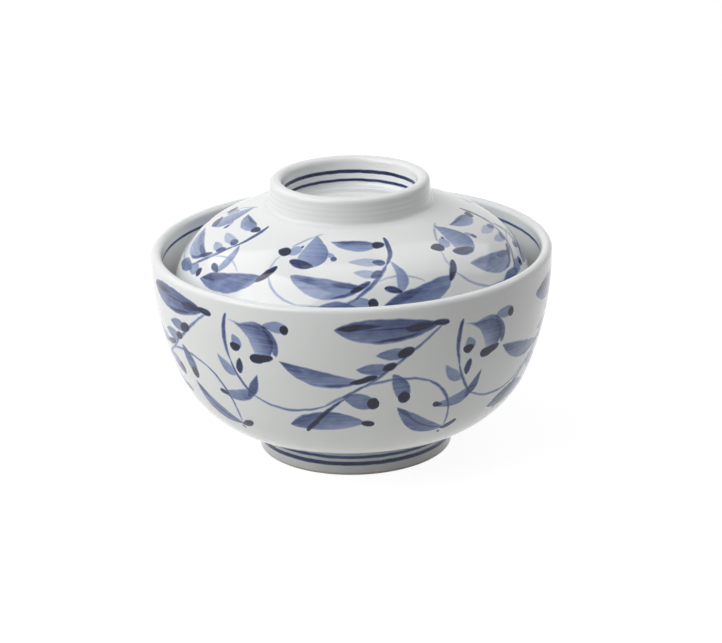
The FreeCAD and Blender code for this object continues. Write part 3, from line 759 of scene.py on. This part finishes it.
class RICE_BOWL_OT_bowl(bpy.types.Operator):
    """Throws the bowl, turns its foot and paints the vine round its wall"""

    bl_idname = "rice_bowl.bowl"
    bl_label = "Bowl"

    def execute(self, context):
        sizes = context.scene.rice_bowl_sizes
        colours = context.scene.rice_bowl_colours
        outline = bowl_outline(sizes)
        zero = max(range(len(outline)), key=lambda i: outline[i][1])
        piece = throw("porcelain_bowl", outline, zero)
        joint = way_to(outline, zero, sizes.foot, sizes.foot_high)
        # The glaze is wiped off from just outside the standing edge to just inside it.
        toe = way_to(outline, zero, sizes.foot - 0.6 * MM, 0.0)
        heel = way_to(outline, zero, sizes.foot - sizes.foot_wide - 0.6 * MM, 0.0)
        # One line inside below the rim and two round the foot, and glaze pooled above the foot, painted
        # darker there as the shade of the crease.
        lines = ((-6.6, 1.0, 0.70), (joint + 1.6, 1.2, 0.74), (joint + 4.3, 1.6, 0.84))
        glaze_pools_and_shade = ((joint + 1.2, 2.6, 0.75),)
        material = glazed_porcelain("glazed_porcelain_cobalt_bowl", colours, BOWL_STROKES,
                                    sizes.rim / MM, BOWL_SHIFTS, lines, glaze_pools_and_shade,
                                    bare=(toe - 1.2, heel + 1.4))
        set_down(piece, "bowl", "bowl", material)
        return {"FINISHED"}


class RICE_BOWL_OT_lid(bpy.types.Operator):
    """Throws the lid with its ring knob and paints the vine round its dome"""

    bl_idname = "rice_bowl.lid"
    bl_label = "Lid"

    def execute(self, context):
        sizes = context.scene.rice_lid_sizes
        colours = context.scene.rice_bowl_colours
        outline = lid_outline(sizes)
        zero = nearest(outline, sizes.knob, sizes.knob_up)
        piece = throw("porcelain_lid", outline, zero)
        inner = sizes.knob - sizes.knob_wide - 0.9 * MM
        upper = way_to(outline, zero, inner, sizes.knob_top - 5.5 * MM)
        lower = way_to(outline, zero, inner, sizes.knob_top - 9.1 * MM)
        # Two lines inside the knob ring, and a little glaze pooled where the ring meets the dome, painted a
        # little darker there as the shade of the crease.
        lines = ((upper, 1.4, 0.94), (lower, 1.1, 0.90))
        glaze_pools_and_shade = ((1.0, 2.2, 0.25),)
        material = glazed_porcelain("glazed_porcelain_cobalt_lid", colours, LID_STROKES,
                                    LID_SHEET_RADIUS, LID_SHIFTS, lines, glaze_pools_and_shade)
        set_down(piece, "lid", "lid", material)
        return {"FINISHED"}


FLOOR_RADIUS = 2.4  # metres
CAMERA_OFF = 0.96875  # metres from the point it was set up on
CAMERA_HEIGHT = 49.26 * MM  # of that point
CAMERA_ASIDE = 3.08 * MM  # how far to its right the camera aims
CAMERA_DOWN = math.radians(19.89)
CAMERA_ROLL = math.radians(-1.32)


class RICE_BOWL_OT_stage(bpy.types.Operator):
    """Lays the floor, hangs the lamps and sets up the camera"""

    bl_idname = "rice_bowl.stage"
    bl_label = "Stage"

    def execute(self, context):
        scene = context.scene
        light = scene.rice_studio_light
        low, high = cad_box
        middle = (low + high) / 2

        bpy.ops.object.select_all(action="DESELECT")
        bpy.ops.mesh.primitive_circle_add(vertices=128, radius=FLOOR_RADIUS, fill_type="NGON",
                                          location=(middle.x, middle.y, low.z))
        floor = context.object
        floor.name = "studio_floor"
        bpy.ops.object.transform_apply(location=True, rotation=True, scale=True)
        paper = bpy.data.materials.new("studio_paper")
        paper.use_nodes = True
        tree = paper.node_tree
        tree.nodes.clear()
        # Paper: a dull pale sheet that throws soft light up, and shows near white with a faint shadow.
        matt = put(tree, "ShaderNodeBsdfDiffuse", {"Color": srgb("#E2E2E0")})
        pale = put(tree, "ShaderNodeBsdfDiffuse", {"Color": srgb("#7C7C7C")})
        glow = put(tree, "ShaderNodeEmission", {"Color": (1, 1, 1, 1), "Strength": 0.92})
        both = put(tree, "ShaderNodeAddShader", {0: pale.outputs[0], 1: glow.outputs[0]})
        mixed = put(tree, "ShaderNodeMixShader", {0: sight(tree), 1: matt.outputs[0],
                                                  2: both.outputs[0]})
        put(tree, "ShaderNodeOutputMaterial", {0: mixed.outputs[0]})
        floor.data.materials.append(paper)

        world = bpy.data.worlds.new("studio_room")
        scene.world = world
        world.use_nodes = True
        tree = world.node_tree
        tree.nodes.clear()
        room = put(tree, "ShaderNodeBackground", {"Color": srgb("#F4F6F8"), "Strength": light.room})
        white = put(tree, "ShaderNodeBackground", {"Color": (1, 1, 1, 1), "Strength": 1.0})
        mixed = put(tree, "ShaderNodeMixShader", {0: sight(tree), 1: room.outputs[0],
                                                  2: white.outputs[0]})
        put(tree, "ShaderNodeOutputWorld", {0: mixed.outputs[0]})

        hang_lamp("key_box", middle, -60, 42, (0.8, 0.85), light.key)
        hang_lamp("back_box", middle, -119, 40, (0.6, 0.6), light.back)
        hang_lamp("side_box", middle, 122, 50, (0.6, 0.8), light.side)
        hang_lamp("low_box", middle, 80, 12, (0.6, 0.6), light.low)
        hang_lamp("top_box", middle, 0, 88, (0.6, 0.6), light.top)

        # The camera looks down past the bowl's middle from a good way off, held a little out of true.
        target = Vector((0.0, 0.0, CAMERA_HEIGHT))
        stand = target + CAMERA_OFF * Vector((0, -math.cos(CAMERA_DOWN), math.sin(CAMERA_DOWN)))
        aim = target + Vector((CAMERA_ASIDE, 0.0, 0.0))
        bpy.ops.object.camera_add(location=stand)
        camera = context.object
        camera.name = "camera"
        camera.data.lens = 123.26
        camera.data.sensor_width = 36.0
        level = (aim - stand).to_track_quat("-Z", "Y").to_matrix()
        camera.rotation_euler = (level @ Matrix.Rotation(CAMERA_ROLL, 3, "Z")).to_euler()
        scene.camera = camera

        scene.view_settings.view_transform = "Standard"
        return {"FINISHED"}


class RICE_BOWL_PT_panel(bpy.types.Panel):
    """Lists the pieces, their sizes and the stage"""

    bl_idname = "RICE_BOWL_PT_panel"
    bl_label = "Rice bowl"
    bl_space_type = "VIEW_3D"
    bl_region_type = "UI"
    bl_category = "Rice bowl"

    def draw(self, context):
        for operator, group in (("rice_bowl.bowl", "rice_bowl_sizes"), ("rice_bowl.lid", "rice_lid_sizes"),
                                ("rice_bowl.stage", "rice_studio_light")):
            self.layout.operator(operator)
            for key in getattr(context.scene, group).bl_rna.properties.keys()[2:]:
                self.layout.prop(getattr(context.scene, group), key)
        for key in context.scene.rice_bowl_colours.bl_rna.properties.keys()[2:]:
            self.layout.prop(context.scene.rice_bowl_colours, key)


CLASSES = (BowlSizes, LidSizes, GlazeColours, StudioLight, RICE_BOWL_OT_bowl, RICE_BOWL_OT_lid,
           RICE_BOWL_OT_stage, RICE_BOWL_PT_panel)


def register():
    for cls in CLASSES:
        bpy.utils.register_class(cls)
    bpy.types.Scene.rice_bowl_sizes = bpy.props.PointerProperty(type=BowlSizes)
    bpy.types.Scene.rice_lid_sizes = bpy.props.PointerProperty(type=LidSizes)
    bpy.types.Scene.rice_bowl_colours = bpy.props.PointerProperty(type=GlazeColours)
    bpy.types.Scene.rice_studio_light = bpy.props.PointerProperty(type=StudioLight)


def unregister():
    del bpy.types.Scene.rice_bowl_sizes
    del bpy.types.Scene.rice_lid_sizes
    del bpy.types.Scene.rice_bowl_colours
    del bpy.types.Scene.rice_studio_light
    for cls in reversed(CLASSES):
        bpy.utils.unregister_class(cls)


def main():
    register()
    bpy.ops.rice_bowl.stage()
    bpy.ops.rice_bowl.bowl()
    bpy.ops.rice_bowl.lid()


if __name__ == "__main__":
    main()
